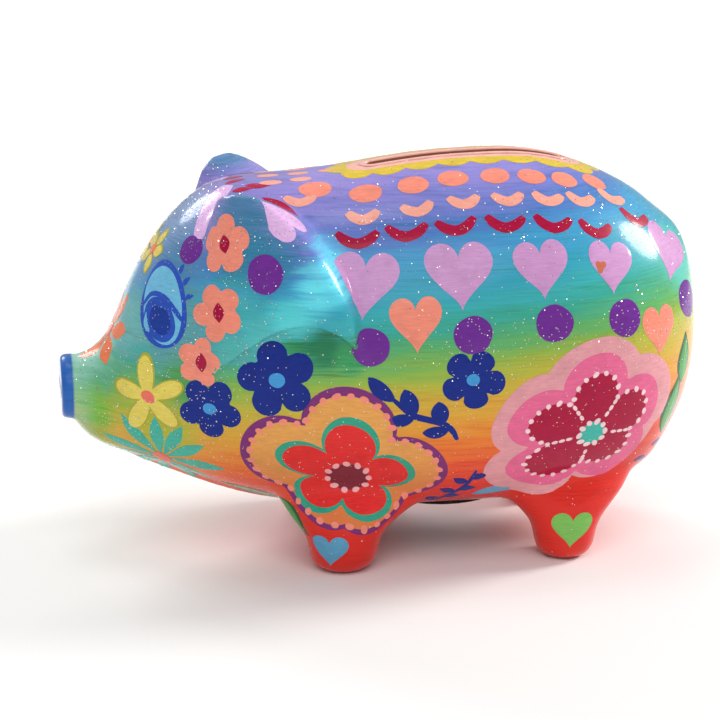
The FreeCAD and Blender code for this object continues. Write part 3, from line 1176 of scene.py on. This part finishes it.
def navy_work(side, word):
    navy = Motif(f"paint_navy_{word}")
    for x, y, z, size, start in NAVY_FLOWERS:
        spot = Spot(x, side * y, z)
        navy.dab("navy", flower(5, size, size * 0.55, 0.5, start), spot)
        navy.dab("sky", dot(size * 0.42, size * 0.38), spot, layer=1)
    spot = Spot(7.5, side * 48.5, 54.5)
    navy.dab("navy", ribbon(SPRIG, 2.0), spot)
    for u, v, turn, length, wide in SPRIG_LEAVES:
        navy.dab("navy", leaf(length, wide, 0.04, 1.0, 0.7), spot, (u, v), turn, 0.3)
    spot = Spot(17, side * 33, 24)
    navy.dab("navy", ribbon([(-6, -7), (-1, -1), (3, 5), (5, 12)], 1.3), spot)
    for u, v, turn in ((-4, -5, 150), (-3, -3, 10), (0, 1, 160), (1, 2, 10), (3, 6, 150), (4, 8, 20)):
        navy.dab("navy", leaf(5, 2.8, 0.05), spot, (u, v), turn, 0.3)
    for x, y, z, turn in ((78, 27, 33, -35), (74, 30, 27, -30)):
        navy.dab("navy", leaf(7, 2, 0.1), Spot(x, side * y, z), turn=turn)
    navy.dab("leg_blue", leaf(14, 4.4, 0.1), Spot(22.5, side * 35, 18.5), turn=8)
    navy.dry()


for side, word in SIDES:
    navy_work(side, word)

# %% Leaves and leg hearts
GREEN_LEAVES = [  # place, length, width and turn of each leaf
    (-50, 16, 24, 22, 8.5, -14), (-37, 25, 19.5, 15, 7, 6), (82, 27, 36, 20, 10, 62),
    (87, 27, 52, 16, 8, 78),
]


def green_work(side, word):
    green = Motif(f"paint_leaves_{word}")
    for x, y, z, length, wide, turn in GREEN_LEAVES:
        spot = Spot(x, side * y, z)
        green.dab("leaf_dark", leaf(length, wide, 0.05), spot, turn=turn)
        green.dab("leaf_green", leaf(length * 0.9, wide * 0.72, 0.05), spot, turn=turn, layer=1)
        green.dab("grass", ribbon([(1, 0), (length / 2, 0.6), (length * 0.85, 0)], 0.8), spot,
                  turn=turn, layer=2)
    green.dab("leg_blue", heart(11.4, 10.2), Spot(-21, side * 37, 8), turn=4)
    green.dab("leg_green", heart(13.2, 11.2), Spot(52, side * 37, 10.5), turn=-4)
    green.dry()


for side, word in SIDES:
    green_work(side, word)

# %% [markdown]
# ## The face
# The eye carries the pig's mood, so it gets the finest strokes: a blue oval for its outline, a pale
# blue oval inside, a dark iris that looks down and forward, a line for the lid and three lashes. The
# snout has a star of orange petals over its bridge, and the cheek and chin have one flower each.

# %% Eye, cheek and snout flowers
def face(side, word):
    eye = Motif(f"paint_eye_{word}")
    spot = Spot(-67, side * 22.5, 82)
    eye.dab("iris_blue", dot(17.4, 26.5, 44), spot, turn=4)
    eye.dab("lid_blue", dot(14.4, 23.4, 44), spot, turn=4, layer=1)
    eye.dab("iris_blue", dot(10.2, 14.6, 32), spot, (-1.4, -4.2), 24, layer=2)
    eye.dab("iris_deep", dot(6.6, 9.6, 24), spot, (-1.0, -4.6), 24, layer=3)
    eye.dab("iris_blue", ribbon([(-7.2, 1.6), (-3.4, 3.9), (1.6, 1.4), (5.0, -3.6), (6.4, -6.4)], 1.5),
            spot, layer=3)
    eye.dab("lid_blue", leaf(6.0, 1.3, 0.12), spot, (-5.3, -7.2), 95, layer=4)
    for u, v, turn, length in ((7.4, 7.4, 62, 2.8), (8.4, 3.6, 38, 3.0), (8.5, -0.6, 12, 2.8)):
        eye.dab("iris_blue", leaf(length, 1.3, 0.1), spot, (u, v), turn, layer=1)
    eye.dry()
    cheek = Motif(f"paint_cheek_{word}")
    spot = Spot(-71, side * 24, 55)
    cheek.dab("olive", flower(5, 12.6, 3.8, 1.35, 98), spot)
    cheek.dab("yellow", flower(5, 11.8, 2.8, 1.55, 98), spot, layer=1)
    cheek.dab("coral", dot(4.6, 3.6, 16), spot, layer=2, turn=-30)
    spot = Spot(-67, side * 17, 34)
    star_petals(cheek, "spiky_teal", spot, 11, 16.5, 3.9, 12, 0, 1.5)
    cheek.dab("coral", dot(6.0, 4.2, 18), spot, layer=2, turn=-25)
    spot = Spot(-67.5, side * 5, 94)
    star_petals(cheek, "olive", spot, 5, 7.4, 4.4, 75, 0, 0.4)
    star_petals(cheek, "yellow", spot, 5, 6.6, 3.5, 75, 1, 0.6)
    cheek.dab("orange", dot(3.6, 4.2, 14), spot, layer=2)
    cheek.dab("violet", dot(8.0, 9.2, 22), Spot(-57.5, side * 20.5, 97))
    cheek.dry()


for side, word in SIDES:
    face(side, word)


def snout_star():
    star = Motif("paint_snout_star")
    spot = Spot(-80.5, -0.5, 69)
    star_petals(star, "orange", spot, 7, 12.5, 5.2, -18, 0, 1.2)
    star.dab("coral", dot(4.4, 4.4, 16), spot, layer=1)
    star.dry()


snout_star()

# %% Ear flowers and the crown of the head
EAR_FLOWERS = [(-50, 31, 101, 8.9, 6), (-52, 35, 82, 8.3, 40), (-57, 33, 67, 7.2, 75)]


def ear_paint(side, word):
    ear = Motif(f"paint_ear_{word}")
    for x, y, z, size, start in EAR_FLOWERS:
        spot = Spot(x, side * y, z)
        ear.dab("salmon", flower(5, size, size * 0.6, 0.5, start), spot)
        ear.dab("crimson", leaf(5.6, 3.6, 0, 1.0), spot, (0.6, -2.8), 92, layer=1)
    ear.dab("violet", dot(10.8, 11.2), Spot(-39, side * 40.5, 94))
    ear.dab("pale_lilac", heart(14, 16), Spot(-33.5, side * 36, 110.5), turn=side * 133)
    ear.dab("crimson", leaf(14, 2.8, 0.05), Spot(-36.5, side * 16, 111), turn=-49)
    ear.dry()


def crown_paint():
    crown = Motif("paint_crown")
    for side in (LEFT, RIGHT):
        spot = Spot(-52, side * 7, 108)
        crown.dab("pale_lilac", ribbon([(8, 3), (4, -2), (-1, -9), (-6, -15)], 6.2), spot)
        for x, y, turn in ((-43, 3, 10), (-37.5, 8, -15), (-42, 10.5, 0), (-36, 10, 8)):
            crown.dab("crimson", leaf(6, 2.6, 0.04), Spot(x - 3, side * y, 113), turn=turn)
        for x, y, wide in ((-33, 7.5, 6.8), (-24, 6.5, 6.6)):
            crown.dab("peach", dot(wide, 3.4), Spot(x, side * y, 114))
    for x in (-33, -24, -15):
        crown.dab("peach", dot(6.4, 3.4), Spot(x, -0.1, 114.5))
    crown.dry()


for side, word in SIDES:
    ear_paint(side, word)
crown_paint()

# %% [markdown]
# ## Chips and glitter
# A souvenir that has been carried about has small chips where bare clay shows. Glitter is the last
# thing to go on: hexagonal foil flakes scattered on the wet varnish. Each flake is a hexagon of its
# own, lying at its own small tilt, because it is the tilt that makes one flash while the next stays
# dark. They lie closest on the green band and on the head.

# %% Chips
CHIPS = [(58, -39.5, 92, 3.4), (-7, -24, 14, 2.2), (70, 33, 100, 2.4), (-60, 28, 88, 2.0)]


def chips():
    bare = Motif("paint_chips")
    for x, y, z, size in CHIPS:
        shape = wobbled(polar(lambda a: size / 2 * (1 + 0.25 * math.sin(3 * a)), 18), 0.14)
        bare.dab("clay_chip", shape, Spot(x, y, z), layer=1.2, film=0.07 * MM)
    bare.dry()


chips()

# %% Glitter
FLAKES = 9000
FLAKE_WIDE = (0.2, 0.4)  # millimetres
TILT = 0.26
SOLE = 1.5 * MM  # no flake lies under a foot
SNOUT_FACE = -92 * MM  # or on the face of the snout


def foil():
    recipe = Recipe("glitter_foil")
    tint = recipe.noise(recipe.place(), (0.9, 0.9, 0.9), 1.0)
    stops = [(0.3, "#74d2c8"), (0.42, "#d4eaf0"), (0.5, "#f0d48e"), (0.58, "#eedde8"), (0.7, "#ee98c6")]
    shade = recipe.node("ShaderNodeValToRGB", {"stops": stops}, {0: tint})
    return recipe.varnish(shade, 0.22, tint, 0.01, coat=0.0, Metallic=1.0)


def painted_tree():
    """Everything the glitter can lie on: the skin and every dab of paint."""
    points, faces = [], []
    for mesh in [whole_skin] + [thing.data for thing in painted]:
        start = len(points)
        points += points_of(mesh).tolist()
        faces += [[start + i for i in face.vertices] for face in mesh.polygons]
    return BVHTree.FromPolygons(points, faces)


def sprinkle(count):
    tree = painted_tree()
    corners = np.array([face.vertices[:3] for face in whole_skin.polygons])
    co = points_of(whole_skin)
    middle = co[corners].mean(1) / MM
    x, z = middle[:, 0], middle[:, 2]
    thick = 0.6 + 1.6 * step(-x, 25, 50) + 3.2 * np.exp(-((z - 73) / 7) ** 2) * step(x, -10, 30)
    thick += 1.2 * np.exp(-((z - 104) / 6) ** 2)
    thick *= 0.25 + 0.75 * step(z, 12, 40)
    picks = rng.choice(len(corners), size=count * 2, p=thick / thick.sum())
    points, faces = [], []
    for pick in picks.tolist():
        face = whole_skin.polygons[pick]
        center, normal = face.center, face.normal
        if len(faces) == count:
            break
        if center.z < SOLE or center.x < SNOUT_FACE or not faces_out(center, normal, whole_tree):
            continue
        shift = Vector(rng.uniform(-0.5, 0.5, 3).tolist()) * CELL
        hit, up, _, _ = tree.ray_cast(center + shift + normal * 1.5 * MM, -normal, 3 * MM)
        if hit is None:
            continue
        up = (up + Vector(rng.normal(0, TILT, 3).tolist())).normalized()
        across = up.orthogonal().normalized()
        other = up.cross(across)
        half = rng.uniform(*FLAKE_WIDE) / 2 * MM
        lift = half * 0.45 + 0.02 * MM
        first = len(points)
        turn = rng.uniform(0, 1)
        for corner in range(6):
            angle = (corner + turn) * math.pi / 3
            out = across * math.cos(angle) + other * math.sin(angle)
            points.append(tuple(hit + up * lift + out * half))
        faces.append(tuple(range(first, first + 6)))
    mesh = bpy.data.meshes.new("glitter_flakes")
    mesh.from_pydata(points, [], faces)
    thing = mesh_object("glitter_flakes", mesh, (foil(),))
    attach(thing, "pig")
    print(len(faces), "flakes of glitter")


sprinkle(FLAKES)

# %% [markdown]
# ## The belly stopper
# The stopper is soft black rubber from a mould: a flange that sits against the belly, a plug that is a
# cup, and a bar across the cup to pull it by. It is turned from a profile, as a lathe would cut its
# mould, with fine rings on the flange and two sealing beads on the plug, and the bar has finger ribs.

# %% Turn the stopper
SEGMENTS = 96
BASE_Z = STOPPER_LOW.z / MM
TOP_Z = STOPPER_HIGH.z / MM
FLANGE_RADIUS = (STOPPER_HIGH.x - STOPPER_LOW.x) / 2 / MM
PLUG_RADIUS = 15.86
CUP_RADIUS = 12.4
ROOF_Z = 25.0


def stopper_profile():
    """Radius and height along the section, in millimetres, from the cup's roof to the plug's top."""
    profile = [(0.0, ROOF_Z), (6.0, ROOF_Z), (CUP_RADIUS - 1.0, ROOF_Z)]
    profile += [(CUP_RADIUS - 1 + math.sin(a), ROOF_Z - 1 + math.cos(a)) for a in (0.5, 1.0, 1.57)]
    profile += [(CUP_RADIUS, z) for z in (22, 20, 18, BASE_Z + 0.6)]
    profile += [(CUP_RADIUS + 0.2, BASE_Z + 0.2), (CUP_RADIUS + 0.6, BASE_Z + 0.05)]
    for ring in range(3):
        start = CUP_RADIUS + 1.4 + 1.9 * ring
        profile += [(start, BASE_Z + 0.05), (start + 0.3, BASE_Z + 0.28), (start + 0.7, BASE_Z + 0.28)]
        profile += [(start + 1.0, BASE_Z + 0.05)]
    rim = FLANGE_RADIUS - 1.0
    profile += [(rim + math.sin(a), BASE_Z + 1.05 - math.cos(a)) for a in (0, 0.4, 0.8, 1.2, 1.57)]
    profile += [(FLANGE_RADIUS, BASE_Z + 2.0), (FLANGE_RADIUS - 0.3, BASE_Z + 2.32)]
    profile += [(FLANGE_RADIUS - 0.8, BASE_Z + 2.38), (PLUG_RADIUS + 0.3, BASE_Z + 2.38)]
    profile += [(PLUG_RADIUS - 0.25, BASE_Z + 2.6)]
    waist = PLUG_RADIUS - 0.25
    for bead in (19.6, 22.4):
        profile += [(waist, bead - 0.7), (PLUG_RADIUS, bead), (waist, bead + 0.7)]
    profile += [(waist, TOP_Z - 1.6), (PLUG_RADIUS - 1.5, TOP_Z - 0.15)]
    return profile + [(8.0, TOP_Z - 0.05), (0.0, TOP_Z - 0.05)]


def rubber():
    recipe = Recipe("stopper_rubber")
    place = recipe.place()
    grain = recipe.noise(place, (0.35, 0.35, 0.35), 4.0)
    dust = recipe.noise(place, (4, 4, 4), 4.0)
    tone = recipe.blend(recipe.ramp(dust, 0.5, 0.75) * 0.5, colour("#1d1c1c"), colour("#5b5450"))
    tone = recipe.blend(grain * 0.3, tone, colour("#0d0d0d"))
    return recipe.varnish(tone, dust * 0.2 + 0.5, grain, 0.05, coat=0.0)


def turned(profile, center):
    """A closed solid made by turning a profile round the upright line through center."""
    points, faces, rings = [], [], []
    for radius, height in profile:
        start = len(points)
        count = SEGMENTS if radius > 0 else 1
        for i in range(count):
            angle = 2 * math.pi * i / SEGMENTS
            points.append((center.x + radius * MM * math.cos(angle),
                           center.y + radius * MM * math.sin(angle), height * MM))
        rings.append([start + i % count for i in range(SEGMENTS + 1)])
    for a, b in zip(rings, rings[1:]):
        for i in range(SEGMENTS):
            face = dict.fromkeys((a[i], b[i], b[i + 1], a[i + 1]))
            faces.append(tuple(face))
    mesh = bpy.data.meshes.new("rubber_stopper")
    mesh.from_pydata(points, [], faces)
    return mesh


def grip_bar():
    """The pull bar inside the cup, with ribs for the finger, as a mesh."""
    bar = bmesh.new()
    bmesh.ops.create_cube(bar, size=1.0)
    bmesh.ops.scale(bar, vec=(17 * MM, 3 * MM, 7.4 * MM), verts=bar.verts)
    bmesh.ops.bevel(bar, geom=bar.edges[:], offset=0.8 * MM, segments=4, affect="EDGES")
    for i in range(5):
        for side in (-1, 1):
            rib = bmesh.ops.create_cube(bar, size=1.0)["verts"]
            bmesh.ops.scale(bar, vec=(1.0 * MM, 0.5 * MM, 5 * MM), verts=rib)
            bmesh.ops.translate(bar, vec=((i - 2) * 2.8 * MM, side * 1.6 * MM, 0), verts=rib)
            edges = list({edge for vert in rib for edge in vert.link_edges})
            bmesh.ops.bevel(bar, geom=edges, offset=0.2 * MM, segments=2, affect="EDGES")
    bmesh.ops.translate(bar, vec=(HOLE.x, HOLE.y, (ROOF_Z - 3.5) * MM), verts=bar.verts)
    return bar


def stopper():
    solid = bmesh.new()
    solid.from_mesh(turned(stopper_profile(), HOLE))
    bmesh.ops.recalc_face_normals(solid, faces=solid.faces[:])
    bar = grip_bar()
    spare = bpy.data.meshes.new("grip_bar")
    bar.to_mesh(spare)
    bar.free()
    solid.from_mesh(spare)
    mesh = bpy.data.meshes.new("rubber_stopper")
    solid.to_mesh(mesh)
    solid.free()
    mesh.polygons.foreach_set("use_smooth", [True] * len(mesh.polygons))
    mesh.set_sharp_from_angle(angle=math.radians(50))
    thing = mesh_object("rubber_stopper", mesh, (rubber(),))
    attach(thing, "stopper")
    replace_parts(thing, "belly_stopper")
    print(thing.name, "has", len(mesh.polygons), "faces")


stopper()
